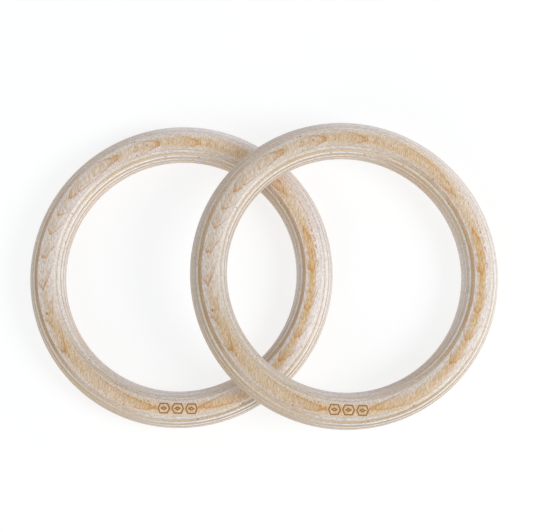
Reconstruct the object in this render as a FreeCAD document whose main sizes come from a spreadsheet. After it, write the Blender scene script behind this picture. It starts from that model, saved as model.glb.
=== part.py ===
import FreeCAD, Part
import math
import os
import Sketcher

# A pair of wooden gymnastics rings lying on a table: the left ring lies flat and the right ring
# leans on it, with its left side raised.
#
# Each ring is turned from a flat blank of plywood. The plies therefore lie across the ring's axis,
# and every ply is a flat slice of the torus: a disc with a hole, whose rims are arcs of the round grip.
#
# Frame of the pair: millimetres, +Z up from the table, +X from the left ring to the right ring, and the
# origin on the table under the middle of the pair.
# Frame of one ring: its own axis is Z, and Z = 0 is the middle of its core ply.

# ---------------------------------------------------------------- driving dimensions

DIMENSIONS = (
    # alias, value, meaning
    ("inner_diameter", 180.0, "clear opening of a ring"),
    ("grip_diameter", 28.0, "diameter of the round grip"),
    ("ply_count", 19, "plies in the plywood blank"),
    ("ring_spacing", 128.0, "distance between the two ring centres, seen from above"),
    ("lean_angle", 9.77, "tilt in degrees that rests the right ring on the left one"),
    ("mark_offset", 2.8, "engraved mark's centre, to the right of the ring's front point"),
    ("mark_spacing", 10.6, "distance between the mark's three hexagons"),
    ("hexagon_length", 9.8, "an engraved hexagon, along the grip"),
    ("hexagon_width", 8.2, "an engraved hexagon, across the grip"),
    ("hexagon_taper", 1.8, "length of a hexagon's pointed ends"),
    ("lozenge_length", 5.4, "small lozenge inside each hexagon"),
    ("lozenge_width", 3.4, "the same lozenge, across the grip"),
    ("stroke_width", 1.0, "width of an engraved line"),
    ("stroke_depth", 0.3, "depth of an engraved line, the same all over the round grip"),
)

RING_RADIUS = "(sizes.inner_diameter + sizes.grip_diameter) / 2"
GRIP_RADIUS = "sizes.grip_diameter / 2"
PLY_COUNT = 19
MARK_PLACES = (("first", -1), ("middle", 0), ("last", 1))
AIR_AT_CROSSING = (0.2, 0.4)

doc = FreeCAD.newDocument("gymnastics_rings")
sheet = doc.addObject("Spreadsheet::Sheet", "sizes")
for row, (alias, value, meaning) in enumerate(DIMENSIONS, start=1):
    sheet.set(f"A{row}", meaning)
    sheet.set(f"B{row}", str(value))
    sheet.setAlias(f"B{row}", alias)
doc.recompute()

# ---------------------------------------------------------------- helpers


def ring_angle(height):
    """Angle on the grip's round section at a height above the ring's middle plane."""
    return math.asin(height / (sheet.grip_diameter / 2))


def level_text(boundary):
    """Height of a glue line as an expression: boundary 0 is the crown, PLY_COUNT is the underside."""
    return f"sizes.grip_diameter * (0.5 - {boundary} / sizes.ply_count)"


def level(boundary):
    return sheet.grip_diameter * (0.5 - boundary / sheet.ply_count)


def origin_plane(body, role):
    return next(plane for plane in body.Origin.OriginFeatures if plane.Role == role)


def add_constraint(sketch, name, text, *arguments):
    """Add a dimension to a sketch and bind it to the sheet."""
    index = sketch.addConstraint(Sketcher.Constraint(*arguments))
    sketch.renameConstraint(index, name)
    sketch.setExpression(f"Constraints.{name}", text)


def place_in_ring(part, side):
    """Put a sub-part, made in the frame of one ring, where that ring lies."""
    lean = "sizes.lean_angle * 1deg"
    middle = f"{RING_RADIUS} * (1 - cos({lean})) / 2"
    if side == "left":
        part.setExpression("Placement.Base.x", f"{middle} - sizes.ring_spacing / 2")
        part.setExpression("Placement.Base.z", GRIP_RADIUS)
        return
    part.Placement = FreeCAD.Placement(
        FreeCAD.Vector(), FreeCAD.Rotation(FreeCAD.Vector(0, 1, 0), sheet.lean_angle))
    part.setExpression("Placement.Base.x", f"{middle} + sizes.ring_spacing / 2")
    part.setExpression("Placement.Base.z", f"{GRIP_RADIUS} + {RING_RADIUS} * sin({lean})")
    part.setExpression("Placement.Rotation.Angle", lean)


# ---------------------------------------------------------------- one ply


def cap_section(sketch, boundary, above):
    """Section of an outer ply: a segment of the grip's circle, above or below one glue line."""
    radius = sheet.grip_diameter / 2
    centre = FreeCAD.Vector((sheet.inner_diameter + sheet.grip_diameter) / 2, 0, 0)
    right = ring_angle(level(boundary))
    left = math.pi - right
    first, last = (right, left) if above else (left, right + 2 * math.pi)
    circle = Part.Circle(centre, FreeCAD.Vector(0, 0, 1), radius)
    arc = sketch.addGeometry(Part.ArcOfCircle(circle, first, last))
    start = sketch.getPoint(arc, 1)
    end = sketch.getPoint(arc, 2)
    chord = sketch.addGeometry(Part.LineSegment(end, start))
    sketch.addConstraint(Sketcher.Constraint("Coincident", arc, 2, chord, 1))
    sketch.addConstraint(Sketcher.Constraint("Coincident", chord, 2, arc, 1))
    sketch.addConstraint(Sketcher.Constraint("Horizontal", chord))
    sketch.addConstraint(Sketcher.Constraint("PointOnObject", arc, 3, -1))
    add_constraint(sketch, "ring_radius", RING_RADIUS, "DistanceX", -1, 1, arc, 3, centre.x)
    add_constraint(sketch, "grip_radius", GRIP_RADIUS, "Radius", arc, radius)
    add_constraint(sketch, "glue_line", level_text(boundary),
                   "DistanceY", -1, 1, chord, 1, level(boundary))


def inner_section(sketch, ply):
    """Section of a ply between two glue lines: its two rims are arcs of the grip's circle."""
    radius = sheet.grip_diameter / 2
    centre = FreeCAD.Vector((sheet.inner_diameter + sheet.grip_diameter) / 2, 0, 0)
    low = ring_angle(level(ply))
    high = ring_angle(level(ply - 1))
    circle = Part.Circle(centre, FreeCAD.Vector(0, 0, 1), radius)
    outer_rim = sketch.addGeometry(Part.ArcOfCircle(circle, low, high))
    inner_rim = sketch.addGeometry(Part.ArcOfCircle(circle, math.pi - high, math.pi - low))
    top = sketch.addGeometry(Part.LineSegment(sketch.getPoint(outer_rim, 2), sketch.getPoint(inner_rim, 1)))
    bottom = sketch.addGeometry(Part.LineSegment(sketch.getPoint(inner_rim, 2), sketch.getPoint(outer_rim, 1)))
    for first, second in ((outer_rim, top), (top, inner_rim), (inner_rim, bottom), (bottom, outer_rim)):
        sketch.addConstraint(Sketcher.Constraint("Coincident", first, 2, second, 1))
    sketch.addConstraint(Sketcher.Constraint("Horizontal", top))
    sketch.addConstraint(Sketcher.Constraint("Horizontal", bottom))
    sketch.addConstraint(Sketcher.Constraint("PointOnObject", outer_rim, 3, -1))
    sketch.addConstraint(Sketcher.Constraint("Coincident", outer_rim, 3, inner_rim, 3))
    sketch.addConstraint(Sketcher.Constraint("Equal", outer_rim, inner_rim))
    add_constraint(sketch, "ring_radius", RING_RADIUS, "DistanceX", -1, 1, outer_rim, 3, centre.x)
    add_constraint(sketch, "grip_radius", GRIP_RADIUS, "Radius", outer_rim, radius)
    add_constraint(sketch, "upper_glue_line", level_text(ply - 1), "DistanceY", -1, 1, top, 1, level(ply - 1))
    add_constraint(sketch, "lower_glue_line", level_text(ply), "DistanceY", -1, 1, bottom, 1, level(ply))


def make_ply(label, ply):
    """A ply as a body: its section turned once about the ring's axis."""
    body = doc.addObject("PartDesign::Body", label)
    body.Label = label
    sketch = body.newObject("Sketcher::SketchObject", f"{label}_section")
    sketch.AttachmentSupport = (origin_plane(body, "XZ_Plane"), [""])
    sketch.MapMode = "FlatFace"
    if ply == 1:
        cap_section(sketch, ply, above=True)
    elif ply == PLY_COUNT:
        cap_section(sketch, ply - 1, above=False)
    else:
        inner_section(sketch, ply)
    turn = body.newObject("PartDesign::Revolution", f"{label}_turn")
    turn.Profile = sketch
    turn.ReferenceAxis = (sketch, ["V_Axis"])
    turn.Angle = 360
    body.Tip = turn
    return body


# ---------------------------------------------------------------- engraved mark


def outline_prism(name, corners, bindings):
    """An upright prism over one closed engraved line, symmetric about its own centre."""
    sketch = doc.addObject("Sketcher::SketchObject", name)
    points = [FreeCAD.Vector(x, y, 0) for x, y in corners]
    lines = []
    for start, end in zip(points, points[1:] + points[:1]):
        lines.append(sketch.addGeometry(Part.LineSegment(start, end)))
    for first, second in zip(lines, lines[1:] + lines[:1]):
        sketch.addConstraint(Sketcher.Constraint("Coincident", first, 2, second, 1))
    for line, (x_text, y_text) in enumerate(bindings):
        add_constraint(sketch, f"corner_{line}_x", x_text, "DistanceX", -1, 1, line, 1, points[line].x)
        add_constraint(sketch, f"corner_{line}_y", y_text, "DistanceY", -1, 1, line, 1, points[line].y)
    stroke = doc.addObject("Part::Offset2D", f"{name}_stroke")
    stroke.Source = sketch
    stroke.Join = "Intersection"
    stroke.Fill = True
    stroke.setExpression("Value", "-sizes.stroke_width")
    prism = doc.addObject("Part::Extrusion", f"{name}_prism")
    prism.Base = stroke
    prism.DirMode = "Custom"
    prism.Dir = FreeCAD.Vector(0, 0, 1)
    prism.setExpression("LengthFwd", "sizes.grip_diameter")
    prism.Solid = True
    return prism


def hexagon_corners():
    """A hexagon of the mark, pointed towards its neighbours."""
    tip = "sizes.hexagon_length / 2"
    shoulder = "(sizes.hexagon_length / 2 - sizes.hexagon_taper)"
    side = "sizes.hexagon_width / 2"
    texts = ((tip, "0"), (shoulder, side), (f"-{shoulder}", side),
             (f"-{tip}", "0"), (f"-{shoulder}", f"-{side}"), (shoulder, f"-{side}"))
    tip_x = sheet.hexagon_length / 2
    shoulder_x = tip_x - sheet.hexagon_taper
    side_y = sheet.hexagon_width / 2
    corners = ((tip_x, 0), (shoulder_x, side_y), (-shoulder_x, side_y),
               (-tip_x, 0), (-shoulder_x, -side_y), (shoulder_x, -side_y))
    return corners, texts


def lozenge_corners():
    """The small lozenge in the middle of a hexagon."""
    tip = "sizes.lozenge_length / 2"
    side = "sizes.lozenge_width / 2"
    texts = ((tip, "0"), ("0", side), (f"-{tip}", "0"), ("0", f"-{side}"))
    tip_x = sheet.lozenge_length / 2
    side_y = sheet.lozenge_width / 2
    return ((tip_x, 0), (0, side_y), (-tip_x, 0), (0, -side_y)), texts


def engraving_tool(side):
    """What the engraving removes: three hexagons in a row, each round a lozenge, down to one depth."""
    prisms = []
    for label, place in MARK_PLACES:
        for shape, corners in (("hexagon", hexagon_corners()), ("lozenge", lozenge_corners())):
            prism = outline_prism(f"{side}_mark_{label}_{shape}", *corners)
            prism.setExpression("Placement.Base.x", f"{place} * sizes.mark_spacing")
            prisms.append(prism)
    lines = doc.addObject("Part::MultiFuse", f"{side}_mark_lines")
    lines.Shapes = prisms
    lines.setExpression("Placement.Base.x", "sizes.mark_offset")
    lines.setExpression("Placement.Base.y", f"-{RING_RADIUS}")
    floor = doc.addObject("Part::Torus", f"{side}_mark_floor")
    floor.setExpression("Radius1", RING_RADIUS)
    floor.setExpression("Radius2", f"{GRIP_RADIUS} - sizes.stroke_depth")
    tool = doc.addObject("Part::Cut", f"{side}_mark_tool")
    tool.Base = lines
    tool.Tool = floor
    return tool


def make_face_veneer(side):
    """The top ply, with the mark engraved into its crown at the front of the ring."""
    veneer = doc.addObject("Part::Cut", f"{side}_face_veneer")
    veneer.Base = make_ply(f"{side}_face_blank", 1)
    veneer.Tool = engraving_tool(side)
    return veneer


# ---------------------------------------------------------------- the two rings

sub_parts = []
for side in ("left", "right"):
    for ply in range(1, PLY_COUNT + 1):
        if ply == 1:
            part = make_face_veneer(side)
        elif ply == PLY_COUNT:
            part = make_ply(f"{side}_back_veneer", ply)
        else:
            part = make_ply(f"{side}_ply_{ply:02d}", ply)
        place_in_ring(part, side)
        sub_parts.append(part)
doc.recompute()

# ---------------------------------------------------------------- checks

for item in doc.Objects:
    if "Invalid" in item.State or "Error" in item.State:
        raise RuntimeError(f"{item.Name} failed: {item.State}")
for part in sub_parts:
    if part.Shape.isNull() or not part.Shape.isValid() or len(part.Shape.Solids) != 1:
        raise RuntimeError(f"{part.Label} is not one valid solid")

ring_radius = (sheet.inner_diameter + sheet.grip_diameter) / 2
torus_volume = 2 * math.pi ** 2 * ring_radius * (sheet.grip_diameter / 2) ** 2
for side in ("left", "right"):
    plies = [part for part in sub_parts if part.Label.startswith(side)]
    volume = sum(part.Shape.Volume for part in plies)
    print(f"{side} ring: {len(plies)} plies, {volume:.0f} of {torus_volume:.0f} cubic mm before engraving")


def centre_line(side):
    """The middle circle of a ring's grip, where that ring lies."""
    placement = next(part for part in sub_parts if part.Label == f"{side}_back_veneer").Placement
    circle = Part.makeCircle(ring_radius)
    circle.Placement = placement
    return circle


air = centre_line("left").distToShape(centre_line("right"))[0] - sheet.grip_diameter
print(f"air between the rings at their crossings: {air:.3f} mm")
if not AIR_AT_CROSSING[0] < air < AIR_AT_CROSSING[1]:
    raise RuntimeError("the lean angle no longer suits the rings")

os.makedirs("parts", exist_ok=True)
for part in sub_parts:
    part.Shape.exportStep(f"parts/{part.Label}.step")
print(f"wrote {len(sub_parts)} sub-parts")
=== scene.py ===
import math

import bpy
import numpy as np
from mathutils import Matrix, Vector


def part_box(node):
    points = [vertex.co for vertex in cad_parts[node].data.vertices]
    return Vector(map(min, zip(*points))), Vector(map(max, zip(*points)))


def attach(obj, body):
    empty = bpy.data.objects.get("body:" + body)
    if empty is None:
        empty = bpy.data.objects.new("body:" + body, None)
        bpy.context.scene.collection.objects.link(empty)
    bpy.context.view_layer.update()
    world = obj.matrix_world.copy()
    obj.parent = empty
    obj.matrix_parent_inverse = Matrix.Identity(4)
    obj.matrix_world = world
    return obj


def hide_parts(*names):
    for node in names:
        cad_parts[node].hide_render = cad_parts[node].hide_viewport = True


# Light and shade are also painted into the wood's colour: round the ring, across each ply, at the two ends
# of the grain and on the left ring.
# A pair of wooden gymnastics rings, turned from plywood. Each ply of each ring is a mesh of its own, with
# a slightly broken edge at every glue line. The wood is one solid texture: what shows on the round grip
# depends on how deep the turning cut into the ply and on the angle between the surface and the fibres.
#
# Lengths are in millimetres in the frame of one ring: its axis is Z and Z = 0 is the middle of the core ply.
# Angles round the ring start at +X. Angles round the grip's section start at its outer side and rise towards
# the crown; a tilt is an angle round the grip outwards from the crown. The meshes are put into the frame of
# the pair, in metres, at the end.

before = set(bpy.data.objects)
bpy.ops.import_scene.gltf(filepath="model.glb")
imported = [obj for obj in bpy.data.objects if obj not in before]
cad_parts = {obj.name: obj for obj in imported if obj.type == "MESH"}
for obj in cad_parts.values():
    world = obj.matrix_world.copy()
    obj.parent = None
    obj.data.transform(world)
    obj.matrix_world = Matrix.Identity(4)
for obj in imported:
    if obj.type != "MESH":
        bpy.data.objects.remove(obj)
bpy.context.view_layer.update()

# ---------------------------------------------------------------- sizes

MM = 0.001
RING_RADIUS = 104.0
GRIP_RADIUS = 14.0
PLY_COUNT = 19
CORE_PLY = 10
LEAN = math.radians(9.77)
PLY_THICKNESS = 2 * GRIP_RADIUS / PLY_COUNT

GLUE_GROOVE_DEPTH = 0.07
GLUE_GROOVE_WIDTH = 0.20

MARK_ANGLE = 270.0
MARK_OFFSET = 2.8
MARK_SPACING = 10.6
MARK_PLACES = (-1, 0, 1)
HEXAGON_LENGTH = 9.8
HEXAGON_WIDTH = 8.2
HEXAGON_TAPER = 1.8
LOZENGE_LENGTH = 5.4
LOZENGE_WIDTH = 3.4
STROKE_WIDTH = 1.0
STROKE_DEPTH = 0.3
STROKE_WALL = 0.12

# ---------------------------------------------------------------- fineness of the meshes

FACE_SEGMENTS = 80
BACK_SEGMENTS = 24
RIM_SEGMENTS = 5
COLUMN_STEP = 1.0
MARK_COLUMN_STEP = 0.1
MARK_HALF_ANGLE = 10.0
MARK_COLUMN_GAP = 0.3
SHARP_ANGLE = math.radians(55)

# Texture sheet of a ply. A flat hidden side takes this height of it, where a visible side takes its own.
TEXTURE_PIXELS = 1024
TEXTURE_GAP_PIXELS = 4
FLAT_SIDE_HEIGHT = 0.3
FEWEST_SECTORS = 4

# ---------------------------------------------------------------- figure of the wood

# Growth layers of the face veneer: an angle round the ring, in degrees, and the number of layers that the
# crown lies above there. A whole number is where a dark growth line crosses. Across the grip, the sheets of
# wood rise towards +X and +Y by these slopes.
LAYER_THICKNESS = 2.3
LAYER_SLOPE_X = 0.13
LAYER_SLOPE_Y = 0.05
CROWN_LAYERS = (
    (2.0, 5.0), (10.0, 5.3), (18.0, 5.0), (29.0, 4.72), (40.0, 5.0), (84.0, 6.0), (100.0, 7.0), (118.5, 8.0),
    (133.0, 8.5), (147.5, 8.0), (154.7, 7.0), (163.0, 6.0), (173.5, 5.0), (186.6, 4.0), (201.6, 3.0),
    (213.8, 2.0), (262.0, 1.0), (271.0, 0.6), (280.6, 1.0), (321.5, 2.0), (332.0, 3.0), (344.7, 4.0),
)

# The growth lines of the face veneer fade where it thins out: the tilt where the fading starts, over how
# many degrees, and how much of the line is lost.
FIGURE_EDGE = 15.0
FIGURE_FADE = 9.0
FIGURE_LOSS = 0.6

# The golden heart of the face veneer: angle round the ring, how golden it is, 0 to 1, and the tilt of its
# middle and its half width. In half widths from the middle, it starts to pale at the core's edge and is
# gone a fade further out.
GOLDEN_HEART = (
    (0.0, 0.88, -4.0, 12.0), (12.0, 0.90, -4.0, 12.0), (30.0, 0.58, -8.0, 18.0), (60.0, 0.70, 2.0, 22.0),
    (90.0, 0.64, 0.0, 18.0), (120.0, 0.50, 2.0, 14.0), (150.0, 0.34, 4.0, 10.0), (180.0, 0.30, 3.0, 8.0),
    (210.0, 0.70, -5.0, 20.0), (240.0, 0.52, 0.0, 22.0), (270.0, 0.76, 0.0, 17.0), (300.0, 0.64, 9.0, 17.0),
    (330.0, 0.76, -3.0, 12.0), (350.0, 0.86, -4.0, 12.0),
)
HEART_CORE = 0.4
HEART_FADE = 1.2

# A row of pin knots beside the crown, and a thin golden vein that runs on from it. Each is its start, end
# and end fade in degrees round the ring, and its tilt and width in degrees round the grip. They have faded
# out at the reach, in widths off their middle.
PIN_ROW = (2.0, 24.0, 1.0, 14.0, 3.0)
GOLDEN_VEIN = (8.0, 68.0, 8.0, 16.5, 1.1)
BAND_REACH = 1.5

# Growth layers of the other plies: the most that they tilt, the length and height of their waves across the
# fibres, and how far and over what length the waves wander along the fibres.
PLY_LAYER_TILT = 0.03
PLY_WAVES = ((95.0, 0.9), (47.0, 0.4))
WAVE_WANDER = 0.7
WAVE_WANDER_LENGTH = 160.0

# Distance in the solid texture between the wood of one ply and the next.
PLY_TEXTURE_STEP = 61.0

# Smoothing of the values given round the ring, in degrees.
CROWN_SMOOTHING = 2.0
HEART_SMOOTHING = 5.0
DRIFT_SMOOTHING = 8.0
SMOOTHING_STEP = 0.5

# ---------------------------------------------------------------- painted light and shade

# Painted light and shade round the ring: how much paler or darker each kind of veneer is made on its outer
# and inner rim, as (angle, share) pairs, for the light and shade that fall there. The face and back veneers
# go over the grip from rim to rim and share one list.
PAINTED_LIGHT_ROUND_RING = {
    ("face", "outer"): (
        (0, -0.02), (30, 0.0), (60, -0.02), (120, -0.04), (150, -0.05), (180, -0.06), (210, -0.07),
        (240, -0.01), (270, 0.06), (300, -0.07), (330, -0.06),
    ),
    ("long", "outer"): (
        (0, 0.0), (60, 0.0), (120, -0.06), (150, -0.12), (180, -0.19), (210, -0.01), (240, 0.08),
        (270, -0.14), (300, -0.33), (330, -0.04),
    ),
    ("cross", "outer"): (
        (0, -0.08), (30, -0.08), (60, -0.13), (90, -0.04), (120, 0.08), (150, 0.08), (180, -0.02),
        (210, -0.10), (240, 0.06), (270, -0.07), (300, -0.02), (330, 0.02),
    ),
    ("long", "inner"): (
        (0, -0.18), (30, -0.13), (60, 0.11), (90, -0.02), (120, -0.02), (150, 0.07), (180, -0.01),
        (210, 0.02), (240, 0.0), (270, -0.12), (300, -0.13), (330, -0.07),
    ),
    ("cross", "inner"): (
        (0, 0.0), (30, -0.04), (60, -0.14), (90, -0.01), (120, 0.0), (150, 0.12), (180, 0.02),
        (210, -0.21), (240, -0.25), (270, -0.05), (300, -0.01), (330, -0.03),
    ),
}

# Painted light: each ring is made a little paler on the side round this angle, as if lit more there, and
# darker on the other.
PAINTED_LIGHT_SIDE = math.radians(15.0)
PAINTED_LIGHT_SHARE = 0.075

# Painted light on the left ring, which lies flat and partly in the right ring's shadow: it is made a little
# paler, its face veneer most, and its other plies most on one side.
LEFT_FACE_PAINTED_LIGHT = 0.10
LEFT_PLY_PAINTED_LIGHT = 0.06
LEFT_PAINTED_LIGHT_SIDE = math.radians(30.0)

# Painted highlight and shade: where the grip faces this angle, one edge of each ply is made paler and the
# other darker, as light and shade across it. By how much is the share, times how far the surface faces that
# side with the gain on it and the offset taken off, held from 0 to 1.
HIGHLIGHT_SIDE = math.radians(335.0)
HIGHLIGHT_SHARE = 0.32
HIGHLIGHT_GAIN = 1.6
HIGHLIGHT_OFFSET = 0.3

# ---------------------------------------------------------------- shape of a ply


def level(boundary):
    """Height of a glue line: 0 is the crown and PLY_COUNT the underside."""
    return GRIP_RADIUS - boundary * PLY_THICKNESS


def section_angle(height):
    """Angle round the grip's section of a height on its outer side."""
    return math.asin(height / GRIP_RADIUS)


def groove_bottom(height):
    """The broken edge at a glue line, as (angle, radius). It lies a little deeper than the grip."""
    radius = GRIP_RADIUS - GLUE_GROOVE_DEPTH
    return math.asin(height / radius), radius


def arc(start, end, segments):
    """Points of the grip's surface between two angles round its section."""
    return [(angle, GRIP_RADIUS) for angle in np.linspace(start, end, segments + 1)]


def rim(low, high):
    """Outer rim of a ply between two glue lines, as (angle, radius) from the lower edge to the upper."""
    shoulder = GLUE_GROOVE_WIDTH / GRIP_RADIUS
    surface = arc(section_angle(low) + shoulder, section_angle(high) - shoulder, RIM_SEGMENTS)
    return [groove_bottom(low)] + surface + [groove_bottom(high)]


def cap(height, segments):
    """Round side of the top ply, from its outer glue line over the crown to the inner one."""
    start = section_angle(height) + GLUE_GROOVE_WIDTH / GRIP_RADIUS
    edge_angle, edge_radius = groove_bottom(height)
    surface = arc(start, math.pi - start, segments)
    return [(edge_angle, edge_radius)] + surface + [(math.pi - edge_angle, edge_radius)]


def ply_section(number):
    """Closed section of a ply as (angle, radius) pairs, and the index of each flat hidden side."""
    if number == 1:
        points = cap(level(1), FACE_SEGMENTS)
        return points, {len(points) - 1}
    if number == PLY_COUNT:
        points = [(-angle, radius) for angle, radius in reversed(cap(level(1), BACK_SEGMENTS))]
        return points, {len(points) - 1}
    outer = rim(level(number), level(number - 1))
    inner = [(math.pi - angle, radius) for angle, radius in reversed(outer)]
    return outer + inner, {len(outer) - 1, len(outer) + len(inner) - 1}


def ring_columns(number):
    """Angles round the ring where the mesh has a column, finer along the engraved mark."""
    columns = np.arange(0.0, 360.0, COLUMN_STEP)
    if number == 1:
        middle = MARK_ANGLE + math.degrees(MARK_OFFSET / RING_RADIUS)
        fine = np.arange(-MARK_HALF_ANGLE, MARK_HALF_ANGLE + MARK_COLUMN_STEP / 2, MARK_COLUMN_STEP) + middle
        before, after = fine[0] - MARK_COLUMN_GAP, fine[-1] + MARK_COLUMN_GAP
        columns = np.concatenate([columns[(columns < before) | (columns > after)], fine])
    return np.radians(np.sort(columns))


# ---------------------------------------------------------------- engraved mark


def inside_depth(x, y, corners):
    """How far a point lies inside a convex outline; negative outside."""
    depth = np.full(np.shape(x), np.inf)
    for (x0, y0), (x1, y1) in zip(corners, corners[1:] + corners[:1]):
        length = math.hypot(x1 - x0, y1 - y0)
        depth = np.minimum(depth, ((x1 - x0) * (y - y0) - (y1 - y0) * (x - x0)) / length)
    return depth


def stroke_cover(x, y, corners):
    """1 on an engraved line that follows the inside of an outline, 0 away from it."""
    distance = np.abs(inside_depth(x, y, corners) - STROKE_WIDTH / 2) - STROKE_WIDTH / 2
    return np.clip(0.5 - distance / STROKE_WALL, 0, 1)


def mark_cover(x, y):
    """1 on the engraved mark's lines: three hexagons in a row, each round a small lozenge."""
    tip, side = HEXAGON_LENGTH / 2, HEXAGON_WIDTH / 2
    shoulder = tip - HEXAGON_TAPER
    hexagon = [(tip, 0), (shoulder, side), (-shoulder, side)]
    hexagon += [(-tip, 0), (-shoulder, -side), (shoulder, -side)]
    tip, side = LOZENGE_LENGTH / 2, LOZENGE_WIDTH / 2
    lozenge = [(tip, 0), (0, side), (-tip, 0), (0, -side)]
    cover = np.zeros(np.shape(x))
    for place in MARK_PLACES:
        u, v = x - MARK_OFFSET - place * MARK_SPACING, y + RING_RADIUS
        for outline in (hexagon, lozenge):
            cover = np.maximum(cover, stroke_cover(u, v, outline))
    return cover


# ---------------------------------------------------------------- figure, and painted light and shade, at each point


def smooth_periodic(angles, values, at, spread):
    """Values round the ring, interpolated and then smoothed over a spread in degrees."""
    fine = np.arange(0.0, 360.0, SMOOTHING_STEP)
    line = np.interp(fine, angles, values, period=360)
    reach = np.arange(-3 * spread, 3 * spread + SMOOTHING_STEP / 2, SMOOTHING_STEP)
    weights = np.exp(-((reach / spread) ** 2) / 2)
    turns = np.round(reach / SMOOTHING_STEP).astype(int)
    smooth = sum(weight * np.roll(line, turn) for weight, turn in zip(weights, turns)) / weights.sum()
    return np.interp(at % 360, fine, smooth, period=360)


def tilt_of(angle):
    """Degrees round the grip, outwards from the crown."""
    return 90.0 - np.degrees(angle)


def face_layers(x, y, z):
    """Growth layers above a point of the face veneer."""
    around = np.arctan2(y, x)
    crown = smooth_periodic(*zip(*CROWN_LAYERS), np.degrees(around), CROWN_SMOOTHING)
    off_crown = np.hypot(x, y) - RING_RADIUS
    slope = LAYER_SLOPE_X * np.cos(around) + LAYER_SLOPE_Y * np.sin(around)
    return crown + (z - GRIP_RADIUS - slope * off_crown) / LAYER_THICKNESS


def ply_layers(number, across, along, z):
    """Growth layers in a ply below the face veneer: gently waved sheets, long along the fibres."""
    draw = np.random.default_rng(number)
    tilt = draw.uniform(-PLY_LAYER_TILT, PLY_LAYER_TILT)
    waves = tilt * across
    turn = 2 * math.pi
    for length, height in PLY_WAVES:
        phase_across, phase_along = draw.uniform(0, turn, 2)
        wander = WAVE_WANDER * np.sin(along / WAVE_WANDER_LENGTH * turn + phase_along)
        waves = waves + height * np.sin(across / length * turn + phase_across + wander)
    return draw.uniform(0, 1) + (z + waves) / LAYER_THICKNESS


def face_figure(angle):
    """How strongly the growth lines of the face veneer show."""
    return 1 - FIGURE_LOSS * np.clip((np.abs(tilt_of(angle)) - FIGURE_EDGE) / FIGURE_FADE, 0, 1)


def face_gold(around, angle):
    """How golden a point of the face veneer is."""
    known_angles, *known = zip(*GOLDEN_HEART)
    degrees = np.degrees(around)
    gold, middle, half_width = (
        smooth_periodic(known_angles, values, degrees, HEART_SMOOTHING) for values in known
    )
    off_middle = np.abs(tilt_of(angle) - middle) / half_width
    fade = np.clip((off_middle - HEART_CORE) / HEART_FADE, 0, 1)
    return gold * (1 - fade * fade * (3 - 2 * fade))


def face_band(around, angle, band):
    """1 along a narrow band of the face veneer, 0 away from it."""
    start, end, end_fade, tilt, width = band
    degrees = np.degrees(around)
    ends = np.clip((degrees - start) / end_fade, 0, 1) * np.clip((end - degrees) / end_fade, 0, 1)
    return ends * np.clip(BAND_REACH - np.abs(tilt_of(angle) - tilt) / width, 0, 1)


def distance_to_glue(number, angle):
    """Distance along the grip's surface to the nearest glue line."""
    outer_angle = np.where(np.cos(angle) > 0, angle, math.pi - angle)
    lines = [section_angle(level(boundary)) for boundary in (number - 1, number) if 0 < boundary < PLY_COUNT]
    return np.minimum.reduce([GRIP_RADIUS * np.abs(outer_angle - line) for line in lines])


def painted_light_round_ring(number, around, angle):
    """Painted light and shade: how much paler a veneer is made at each point; 0 is its usual shade."""
    kind = "face" if number in (1, PLY_COUNT) else "long" if number % 2 else "cross"
    degrees = np.degrees(around)
    outer = smooth_periodic(*zip(*PAINTED_LIGHT_ROUND_RING[kind, "outer"]), degrees, DRIFT_SMOOTHING)
    if kind == "face":
        return outer
    inner = smooth_periodic(*zip(*PAINTED_LIGHT_ROUND_RING[kind, "inner"]), degrees, DRIFT_SMOOTHING)
    return np.where(np.cos(angle) > 0, outer, inner)


def painted_light_and_shade(side, number, around, angle, z):
    """Painted light and shade: how much paler or darker the wood is made at each point; 1 is its usual
    shade.
    """
    # Painted light on one side of the ring, and the painted light and shade round the ring.
    pale = 1 + PAINTED_LIGHT_SHARE * np.cos(around - PAINTED_LIGHT_SIDE) + painted_light_round_ring(number, around, angle)
    # Painted light that makes the left ring paler.
    if side == "left" and number == 1:
        pale = pale + LEFT_FACE_PAINTED_LIGHT
    elif side == "left":
        pale = pale + LEFT_PLY_PAINTED_LIGHT * (1 + np.cos(around - LEFT_PAINTED_LIGHT_SIDE) * np.cos(angle))
    if number in (1, PLY_COUNT):
        return pale
    # Painted highlight and shade across each ply, on the side that faces the angle above: one edge paler,
    # the other darker.
    top, bottom = level(number - 1), level(number)
    height_in_ply = 2 * (z - bottom) / (top - bottom) - 1
    lit_edge = -height_in_ply if number % 2 else height_in_ply
    outward = np.cos(around - HIGHLIGHT_SIDE) * np.cos(angle)
    return pale * (1 + HIGHLIGHT_SHARE * np.clip(outward * HIGHLIGHT_GAIN - HIGHLIGHT_OFFSET, 0, 1) * lit_edge)


# ---------------------------------------------------------------- meshes


def ring_matrix(side):
    """Where a ring lies. Its core ply is symmetric, so the middle of that ply's box is the ring's centre."""
    low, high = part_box(f"{side}_ply_{CORE_PLY}")
    lean = LEAN if side == "right" else 0.0
    return Matrix.Translation((low + high) / 2) @ Matrix.Rotation(lean, 4, "Y") @ Matrix.Scale(MM, 4)


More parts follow.
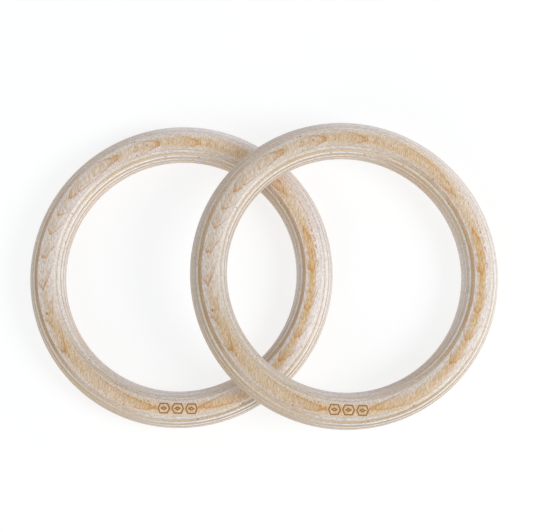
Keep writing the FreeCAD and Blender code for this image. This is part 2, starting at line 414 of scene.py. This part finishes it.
def texture_rows(points, flats, columns):
    """Texture coordinates: the ply is cut across into sectors, laid one above the other, so that its
    visible sides fill the sheet and its hidden flat sides take little of it."""
    next_points = points[1:] + points[:1]
    heights = np.array([
        FLAT_SIDE_HEIGHT if i in flats else abs(next_point[0] - point[0]) * GRIP_RADIUS
        for i, (point, next_point) in enumerate(zip(points, next_points))
    ])
    turn = 2 * math.pi
    sectors = max(FEWEST_SECTORS, round(math.sqrt(turn * (RING_RADIUS + GRIP_RADIUS) / heights.sum())))
    gap = TEXTURE_GAP_PIXELS / TEXTURE_PIXELS
    row_height = 1 / sectors
    v_in_row = gap / 2 + np.concatenate([[0], np.cumsum(heights)]) * (row_height - gap) / heights.sum()
    count = len(columns)
    bounds = [int(np.searchsorted(columns, turn * sector / sectors)) for sector in range(sectors)] + [count]
    ends = np.append(columns, columns[0] + turn)
    u = np.zeros((count, 2))
    row = np.zeros(count, int)
    for sector in range(sectors):
        first, last = bounds[sector], bounds[sector + 1]
        length = ends[last] - ends[first]
        row[first:last] = sector
        u[first:last, 0] = (ends[first:last] - ends[first]) / length
        u[first:last, 1] = (ends[first + 1:last + 1] - ends[first]) / length
    return gap / 2 + u * (1 - gap), row * row_height, v_in_row


def add_texture_coordinates(mesh, points, flats, columns):
    u, row_start, v = texture_rows(points, flats, columns)
    corner_u = np.stack([u[:, 0], u[:, 1], u[:, 1], u[:, 0]], -1)[None, :, :] + np.zeros((len(points), 1, 1))
    corner_v = np.stack([v[:-1], v[:-1], v[1:], v[1:]], -1)[:, None, :] + row_start[None, :, None]
    layer = mesh.uv_layers.new(name="OFBake")
    layer.data.foreach_set("uv", np.stack([corner_u, corner_v], -1).astype(np.float32).ravel())


def add_attribute(mesh, name, values):
    """Values at each point of a mesh: numbers by row and column, or vectors, which have a third axis."""
    vectors = values.ndim == 3
    attribute = mesh.attributes.new(name, "FLOAT_VECTOR" if vectors else "FLOAT", "POINT")
    field = "vector" if vectors else "value"
    attribute.data.foreach_set(field, np.ascontiguousarray(values, dtype=np.float32).ravel())


def surface_point(radius, angle, around):
    """Position of a point at a radius and angle of the grip's section, and an angle round the ring."""
    off_axis = RING_RADIUS + radius * np.cos(angle)
    return off_axis * np.cos(around), off_axis * np.sin(around), radius * np.sin(angle)


def make_ply(side, number, name, material):
    """One ply as a closed mesh, with what its material needs to know at each point."""
    points, flats = ply_section(number)
    columns = ring_columns(number)
    rows, count = len(points), len(columns)
    angle, radius = (np.repeat(values[:, None], count, 1) for values in np.array(points).T)
    around = np.repeat(columns[None, :], rows, 0)
    is_face = number == 1
    if is_face:
        x, y, z = surface_point(GRIP_RADIUS, angle, around)
        burnt = mark_cover(x, y)
        radius = radius - STROKE_DEPTH * burnt
    x, y, z = surface_point(radius, angle, around)

    i = np.arange(rows)[:, None]
    j = np.arange(count)[None, :]
    next_i, next_j = (i + 1) % rows, (j + 1) % count
    quads = np.stack([i * count + j, i * count + next_j, next_i * count + next_j, next_i * count + j], -1)
    mesh = bpy.data.meshes.new(name)
    mesh.from_pydata(np.stack([x, y, z], -1).reshape(-1, 3).tolist(), [], quads.reshape(-1, 4).tolist())

    fibres_along_y = number % 2 == 1
    across, along = (x, y) if fibres_along_y else (y, x)
    facing = np.cos(angle) * (np.sin(around) if fibres_along_y else np.cos(around))
    offset = PLY_TEXTURE_STEP * number
    add_attribute(mesh, "wood", np.stack([across + offset, along + offset, z], -1))
    # end_grain is 0 and 1 at the two ends of the grain, 0.5 along the fibres; the tones make the end facing
    # +X or +Y lighter, which is painted light and shade.
    add_attribute(mesh, "end_grain", 0.5 + facing / 2)
    add_attribute(mesh, "layers", face_layers(x, y, z) if is_face else ply_layers(number, across, along, z))
    add_attribute(mesh, "to_glue", distance_to_glue(number, angle))
    # The pale attribute carries the painted light and shade.
    add_attribute(mesh, "pale", painted_light_and_shade(side, number, around, angle, z))
    if is_face:
        add_attribute(mesh, "gold", face_gold(around, angle))
        add_attribute(mesh, "pins", face_band(around, angle, PIN_ROW))
        add_attribute(mesh, "vein", face_band(around, angle, GOLDEN_VEIN))
        add_attribute(mesh, "figure", face_figure(angle))
        add_attribute(mesh, "burnt", burnt)
    add_texture_coordinates(mesh, points, flats, columns)

    mesh.transform(ring_matrix(side))
    mesh.polygons.foreach_set("use_smooth", [True] * len(mesh.polygons))
    mesh.set_sharp_from_angle(angle=SHARP_ANGLE)
    mesh.materials.append(material)
    ply = bpy.data.objects.new(name, mesh)
    bpy.context.scene.collection.objects.link(ply)
    return ply


# ---------------------------------------------------------------- shader nodes


def linear(red, green, blue):
    """Linear colour of an 8-bit display colour."""
    shares = [value / 255 for value in (red, green, blue)]
    return tuple(s / 12.92 if s <= 0.04045 else ((s + 0.055) / 1.055) ** 2.4 for s in shares) + (1.0,)


class Shader:
    """Short forms for the nodes that the wood uses."""

    def __init__(self, name):
        self.material = bpy.data.materials.new(name)
        self.material.use_nodes = True
        self.tree = self.material.node_tree
        self.tree.nodes.clear()
        output = self.tree.nodes.new("ShaderNodeOutputMaterial")
        self.surface = self.tree.nodes.new("ShaderNodeBsdfPrincipled")
        self.link(self.surface.outputs["BSDF"], output.inputs["Surface"])

    def link(self, source, target):
        self.tree.links.new(source, target)

    def put(self, target, value):
        """Set a socket to a number, or link it to another node's output."""
        if isinstance(value, bpy.types.NodeSocket):
            self.link(value, target)
        else:
            target.default_value = value

    def attribute(self, name, output="Fac"):
        node = self.tree.nodes.new("ShaderNodeAttribute")
        node.attribute_name = name
        return node.outputs[output]

    def math(self, operation, a, b=0.0, clamp=False):
        node = self.tree.nodes.new("ShaderNodeMath")
        node.operation = operation
        node.use_clamp = clamp
        self.put(node.inputs[0], a)
        self.put(node.inputs[1], b)
        return node.outputs[0]

    def product(self, first, *others):
        for other in others:
            first = self.math("MULTIPLY", first, other)
        return first

    def strongest(self, first, *others):
        for other in others:
            first = self.math("MAXIMUM", first, other)
        return first

    def spread(self, value, low, high, to_low, to_high, smooth=False):
        """Spread a range of values over another, and hold it there outside the range."""
        node = self.tree.nodes.new("ShaderNodeMapRange")
        node.interpolation_type = "SMOOTHSTEP" if smooth else "LINEAR"
        node.clamp = True
        for socket, number in zip(node.inputs, (value, low, high, to_low, to_high)):
            self.put(socket, number)
        return node.outputs["Result"]

    def stretched(self, vector, scale):
        node = self.tree.nodes.new("ShaderNodeVectorMath")
        node.operation = "MULTIPLY"
        self.put(node.inputs[0], vector)
        node.inputs[1].default_value = scale
        return node.outputs[0]

    def noise(self, vector, scale, detail, roughness=0.5):
        node = self.tree.nodes.new("ShaderNodeTexNoise")
        self.put(node.inputs["Vector"], self.stretched(vector, scale))
        node.inputs["Scale"].default_value = 1.0
        node.inputs["Detail"].default_value = detail
        node.inputs["Roughness"].default_value = roughness
        return node.outputs["Fac"]

    def off_spots(self, vector, scale):
        """Distance to the nearest of some scattered spots, in their spacing."""
        node = self.tree.nodes.new("ShaderNodeTexVoronoi")
        node.feature = "F1"
        self.put(node.inputs["Vector"], self.stretched(vector, scale))
        node.inputs["Scale"].default_value = 1.0
        return node.outputs["Distance"]

    def ramp(self, value, stops):
        node = self.tree.nodes.new("ShaderNodeValToRGB")
        node.color_ramp.interpolation = "EASE"
        while len(node.color_ramp.elements) < len(stops):
            node.color_ramp.elements.new(0.5)
        for element, (position, colour) in zip(node.color_ramp.elements, stops):
            element.position = position
            element.color = linear(*colour)
        self.put(node.inputs["Fac"], value)
        return node.outputs["Color"]

    def mix(self, factor, a, b, blend="MIX"):
        node = self.tree.nodes.new("ShaderNodeMix")
        node.data_type = "RGBA"
        node.blend_type = blend
        self.put(node.inputs["Factor"], factor)
        self.put(node.inputs["A"], a)
        self.put(node.inputs["B"], b)
        return node.outputs["Result"]

    def bump(self, height, distance, strength):
        node = self.tree.nodes.new("ShaderNodeBump")
        node.inputs["Strength"].default_value = strength
        node.inputs["Distance"].default_value = distance
        self.put(node.inputs["Height"], height)
        return node.outputs["Normal"]


# ---------------------------------------------------------------- wood

# Noises and spots of the wood: how many to the millimetre across the fibres, along them and in depth.
# Noises also have their detail and roughness.
BROAD_NOISE = ((0.09, 0.012, 0.09), 2.0)
FIBRE_NOISE = ((0.55, 0.09, 0.55), 3.0, 0.65)
HATCH_NOISE = ((1.9, 0.34, 1.9), 1.0, 0.6)
PORE_NOISE = ((4.5, 0.6, 4.5), 1.0)
WOBBLE_NOISE = ((0.5, 0.05, 0.5), 3.0, 0.6)
KNOT_SPOTS = (0.13, 0.07, 0.22)
PIN_SPOTS = (0.6, 0.55, 0.6)

# Spreads: the low and high value of what is spread, and what each becomes.
BROAD_TONE = (0.3, 0.7, -0.04, 0.04)
MEAN_GOLD = (0.0, 1.0, 0.07, 0.85)
HATCH_GOLD = (0.34, 0.66, 0.18, -0.18)
LAYER_WOBBLE = (0.3, 0.7, -0.08, 0.08)
LATE_EDGE = (0.97, 1.0, 0.0, 0.9)
LATE_HAZE = (0.5, 1.0, 0.0, 0.13)
NESTED_LINES = (0.2, 0.8, 0.12, 0.5)
PATCHY_LINES = (0.34, 0.60, 0.70, 1.0)
KNOT_COVER = (0.04, 0.10, 0.85, 0.0)
VEIN_COVER = (0.35, 0.6, 0.35, 0.9)
PIN_COVER = (0.32, 0.52, 0.9, 0.0)
FIBRE_SHADE = (0.25, 0.75, 0.90, 1.10)
FACE_HATCH_SHADE = (0.30, 0.70, 0.85, 1.15)
PLY_HATCH_SHADE = (0.30, 0.70, 0.78, 1.22)
PORE_SHADE = (0.30, 0.42, 0.92, 1.0)
GLUE_COVER = (0.04, 0.24, 1.0, 0.0)
GLUE_PATCHES = (0.35, 0.6, 0.3, 0.8)
BURN_PATCHES = (0.3, 0.7, 0.85, 1.0)
PORE_ROUGHNESS = (0.3, 0.7, 0.52, 0.42)

# Growth lines: how steeply the latewood darkens, how many finer lines lie in each layer, and how much of
# the lines shows in the plies below the face veneer.
LATE_POWER = 13.0
NESTED_COUNT = 4.0
NESTED_POWER = 5.0
PLY_LINE_SHARE = 0.35

# The grain's shade may swing this far either way, in blue more than in red.
GRAIN_SWING = 0.4
CHANNEL_STRENGTHS = (("Red", 0.9), ("Green", 1.0), ("Blue", 1.3))

# Relief of the fibres: its depth in metres, and how strongly it shows.
RELIEF_DEPTH = 0.00015
RELIEF_STRENGTH = 0.6

GOLD = linear(204, 160, 80)
KNOT_BROWN = linear(140, 88, 42)
VEIN_GOLD = linear(208, 156, 78)
PIN_BROWN = linear(192, 126, 40)
GLUE_BROWN = linear(142, 104, 70)
BURNT_BROWN = linear(158, 100, 10)


def growth_lines(s, wood, fibre, figure):
    """How much latewood shows: a dark line at each whole number of layers, a haze above it, finer lines."""
    wobble = s.spread(s.noise(wood, *WOBBLE_NOISE), *LAYER_WOBBLE)
    layer = s.math("FRACT", s.math("ADD", s.attribute("layers"), wobble))
    since = s.math("SUBTRACT", 1.0, layer)
    late = s.math("POWER", since, LATE_POWER)
    edge = s.spread(layer, *LATE_EDGE)
    haze = s.spread(since, *LATE_HAZE, smooth=True)
    nested = s.math("POWER", s.math("FRACT", s.math("MULTIPLY", since, NESTED_COUNT)), NESTED_POWER)
    nested = s.product(nested, s.spread(since, *NESTED_LINES))
    return s.product(s.strongest(late, edge, haze, nested), s.spread(fibre, *PATCHY_LINES), figure)


def wood_material(name, tones, latewood, face=False):
    """Bare sanded birch. tones are its colours where the surface faces against the fibres, along them and
    with them; the two ends are toned apart as painted light and shade. The face veneer also has its golden
    heart, its flat figure, its pin knots and vein, and the burnt mark."""
    s = Shader(name)
    wood = s.attribute("wood", "Vector")
    broad = s.noise(wood, *BROAD_NOISE)
    fibre = s.noise(wood, *FIBRE_NOISE)
    hatch = s.noise(wood, *HATCH_NOISE)
    pore = s.noise(wood, *PORE_NOISE)

    tone = s.math("ADD", s.attribute("end_grain"), s.spread(broad, *BROAD_TONE), clamp=True)
    colour = s.ramp(tone, tones)
    if face:
        mean_gold = s.spread(s.attribute("gold"), *MEAN_GOLD)
        golden = s.math("ADD", mean_gold, s.spread(hatch, *HATCH_GOLD), clamp=True)
        colour = s.mix(golden, colour, GOLD)
    figure = s.attribute("figure") if face else PLY_LINE_SHARE
    colour = s.mix(growth_lines(s, wood, fibre, figure), colour, linear(*latewood))
    knot = s.spread(s.off_spots(wood, KNOT_SPOTS), *KNOT_COVER, smooth=True)
    colour = s.mix(knot, colour, KNOT_BROWN)
    if face:
        vein = s.product(s.attribute("vein"), s.spread(fibre, *VEIN_COVER))
        colour = s.mix(vein, colour, VEIN_GOLD)
        pin = s.spread(s.off_spots(wood, PIN_SPOTS), *PIN_COVER, smooth=True)
        colour = s.mix(s.product(pin, s.attribute("pins")), colour, PIN_BROWN)

    shade = s.spread(fibre, *FIBRE_SHADE)
    fine = s.spread(hatch, *(FACE_HATCH_SHADE if face else PLY_HATCH_SHADE))
    # The pale attribute multiplies the painted light and shade into the grain.
    grain = s.product(shade, fine, s.spread(pore, *PORE_SHADE), s.attribute("pale"))
    tint = s.tree.nodes.new("ShaderNodeCombineColor")
    for channel, strength in CHANNEL_STRENGTHS:
        swing = GRAIN_SWING * strength
        s.link(s.spread(grain, 1 - GRAIN_SWING, 1 + GRAIN_SWING, 1 - swing, 1 + swing), tint.inputs[channel])
    colour = s.mix(1.0, colour, tint.outputs["Color"], "MULTIPLY")

    glue = s.spread(s.attribute("to_glue"), *GLUE_COVER, smooth=True)
    colour = s.mix(s.product(glue, s.spread(fibre, *GLUE_PATCHES)), colour, GLUE_BROWN)
    if face:
        burn = s.product(s.attribute("burnt"), s.spread(fibre, *BURN_PATCHES))
        colour = s.mix(burn, colour, BURNT_BROWN)
    s.link(colour, s.surface.inputs["Base Color"])

    s.link(s.spread(pore, *PORE_ROUGHNESS), s.surface.inputs["Roughness"])
    s.surface.inputs["Specular IOR Level"].default_value = 0.5
    s.surface.inputs["Sheen Weight"].default_value = 0.12
    s.surface.inputs["Sheen Roughness"].default_value = 0.45
    s.surface.inputs["Sheen Tint"].default_value = (0.92, 0.96, 1.0, 1.0)
    relief = s.math("ADD", s.math("MULTIPLY", fibre, 0.5), s.math("MULTIPLY", hatch, 0.5))
    s.link(s.bump(relief, RELIEF_DEPTH, RELIEF_STRENGTH), s.surface.inputs["Normal"])
    return s.material


# Colours of the veneers by the angle between the surface and the fibres: 0.5 is along the fibres, and 0 and
# 1 are the two ends of the grain. The two ends are toned apart: the end where the surface faces +X or +Y, at
# 1, is lighter and cooler than the other, which is painted light and shade on top of the end grain's own
# colour.
FACE_TONES = (
    (0.1, (206, 184, 160)), (0.25, (215, 200, 184)), (0.4, (221, 211, 206)), (0.5, (223, 215, 211)),
    (0.6, (221, 213, 209)), (0.75, (216, 207, 202)), (0.9, (210, 198, 187)),
)
LONG_TONES = (
    (0.075, (210, 186, 158)), (0.13, (216, 193, 168)), (0.2, (218, 194, 165)), (0.31, (220, 206, 188)),
    (0.5, (225, 219, 213)), (0.69, (219, 208, 202)), (0.79, (216, 198, 186)), (0.87, (213, 201, 195)),
)
SECOND_TONES = (
    (0.235, (190, 156, 120)), (0.27, (194, 165, 134)), (0.367, (201, 183, 164)), (0.5, (219, 208, 198)),
    (0.633, (222, 206, 188)), (0.73, (227, 213, 200)), (0.765, (230, 218, 208)),
)
CROSS_TONES = (
    (0.047, (206, 192, 179)), (0.11, (202, 185, 170)), (0.167, (199, 178, 154)), (0.27, (195, 176, 154)),
    (0.31, (198, 182, 166)), (0.5, (227, 224, 223)), (0.7, (231, 225, 219)), (0.83, (233, 224, 215)),
    (0.9, (227, 216, 205)), (0.95, (219, 205, 192)),
)
FACE_LATEWOOD = (191, 127, 36)
LONG_LATEWOOD = (186, 138, 84)
CROSS_LATEWOOD = (150, 104, 60)

BIRCH = {
    "face_veneer": wood_material("birch_face_veneer", FACE_TONES, FACE_LATEWOOD, face=True),
    "long_grain_ply": wood_material("birch_long_grain_ply", LONG_TONES, LONG_LATEWOOD),
    "second_ply": wood_material("birch_second_ply", SECOND_TONES, CROSS_LATEWOOD),
    "cross_grain_ply": wood_material("birch_cross_grain_ply", CROSS_TONES, CROSS_LATEWOOD),
}

# ---------------------------------------------------------------- the two rings


def node_name(side, number):
    if number == 1:
        return f"{side}_face_veneer"
    if number == PLY_COUNT:
        return f"{side}_back_veneer"
    return f"{side}_ply_{number:02d}"


for side in ("left", "right"):
    for number in range(1, PLY_COUNT + 1):
        node = node_name(side, number)
        slot = "face_veneer" if number == 1 else "long_grain_ply" if number % 2 else "cross_grain_ply"
        material = BIRCH["second_ply" if number == 2 else slot]
        ply = make_ply(side, number, f"{node}_wood", material)
        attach(ply, f"{side}_ring")
        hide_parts(node)

# ---------------------------------------------------------------- floor, light and camera

# Lengths are in metres from here on, and the lens in millimetres.
FLOOR_HALF = 4.0
FLOOR_TONES = ((150, 150, 150), (154, 154, 153))

# Each soft lamp: azimuth from +X towards +Y and elevation in degrees, width, watts and colour.
LAMP_DISTANCE = 3.0
LAMPS = {
    "key": (-13.0, 40.0, 1.4, 36.0, (1.0, 0.995, 0.98)),
    "rim": (50.0, 6.0, 0.75, 15.5, (0.88, 0.95, 1.0)),
    "fill": (236.0, 32.0, 2.0, 20.5, (0.93, 0.975, 1.0)),
    "back": (135.0, 25.0, 2.0, 6.0, (0.93, 0.96, 1.0)),
}

CAMERA_DISTANCE = 1.4
CAMERA_LENS = 122.7
CAMERA_ASIDE = math.radians(4.59)
CAMERA_FORWARD = math.radians(9.18)
CAMERA_ROLL = math.radians(1.52)
CAMERA_TARGET = Vector((0.0038, 0.0077, 0.020))


def make_floor():
    mesh = bpy.data.meshes.new("floor")
    corners = [(x * FLOOR_HALF, y * FLOOR_HALF, 0) for x, y in ((-1, -1), (1, -1), (1, 1), (-1, 1))]
    mesh.from_pydata(corners, [], [(0, 1, 2, 3)])
    s = Shader("pale_floor")
    mottle = s.tree.nodes.new("ShaderNodeTexNoise")
    mottle.inputs["Scale"].default_value = 3.0
    dark, pale = (linear(*tone) for tone in FLOOR_TONES)
    s.link(s.mix(mottle.outputs["Fac"], dark, pale), s.surface.inputs["Base Color"])
    s.surface.inputs["Roughness"].default_value = 0.9
    s.surface.inputs["Specular IOR Level"].default_value = 0.1
    s.surface.inputs["Emission Color"].default_value = (1.0, 1.0, 1.0, 1.0)
    s.surface.inputs["Emission Strength"].default_value = 0.72
    mesh.materials.append(s.material)
    floor = bpy.data.objects.new("floor", mesh)
    bpy.context.scene.collection.objects.link(floor)


def add_lamp(name, azimuth, elevation, width, watts, colour):
    """A round soft lamp that faces the middle of the pair."""
    light = bpy.data.lights.new(name, "AREA")
    light.shape = "DISK"
    light.size = width
    light.energy = watts
    light.color = colour
    lamp = bpy.data.objects.new(name, light)
    a, e = math.radians(azimuth), math.radians(elevation)
    direction = Vector((math.cos(e) * math.cos(a), math.cos(e) * math.sin(a), math.sin(e)))
    lamp.location = direction * LAMP_DISTANCE
    lamp.rotation_mode = "QUATERNION"
    lamp.rotation_quaternion = direction.to_track_quat("Z", "Y")
    bpy.context.scene.collection.objects.link(lamp)


def make_world():
    world = bpy.data.worlds.new("studio")
    world.use_nodes = True
    background = world.node_tree.nodes["Background"]
    background.inputs["Color"].default_value = (0.93, 0.965, 1.0, 1.0)
    background.inputs["Strength"].default_value = 0.56
    bpy.context.scene.world = world


def make_camera():
    """Nearly overhead, from the front and a little from the right, with the pair's +Y up in the picture."""
    back = Vector((math.tan(CAMERA_ASIDE), -math.tan(CAMERA_FORWARD), 1.0)).normalized()
    across = Vector((0, 1, 0)).cross(back).normalized()
    up = back.cross(across)
    turn = Matrix((across, up, back)).transposed().to_4x4() @ Matrix.Rotation(CAMERA_ROLL, 4, "Z")
    camera_data = bpy.data.cameras.new("camera")
    camera_data.lens = CAMERA_LENS
    camera_data.sensor_width = 36.0
    camera = bpy.data.objects.new("camera", camera_data)
    camera.matrix_world = Matrix.Translation(CAMERA_TARGET + back * CAMERA_DISTANCE) @ turn
    bpy.context.scene.collection.objects.link(camera)
    bpy.context.scene.camera = camera


make_floor()
make_world()
for lamp_name, lamp_settings in LAMPS.items():
    add_lamp(lamp_name, *lamp_settings)
make_camera()
bpy.context.scene.view_settings.view_transform = "Standard"
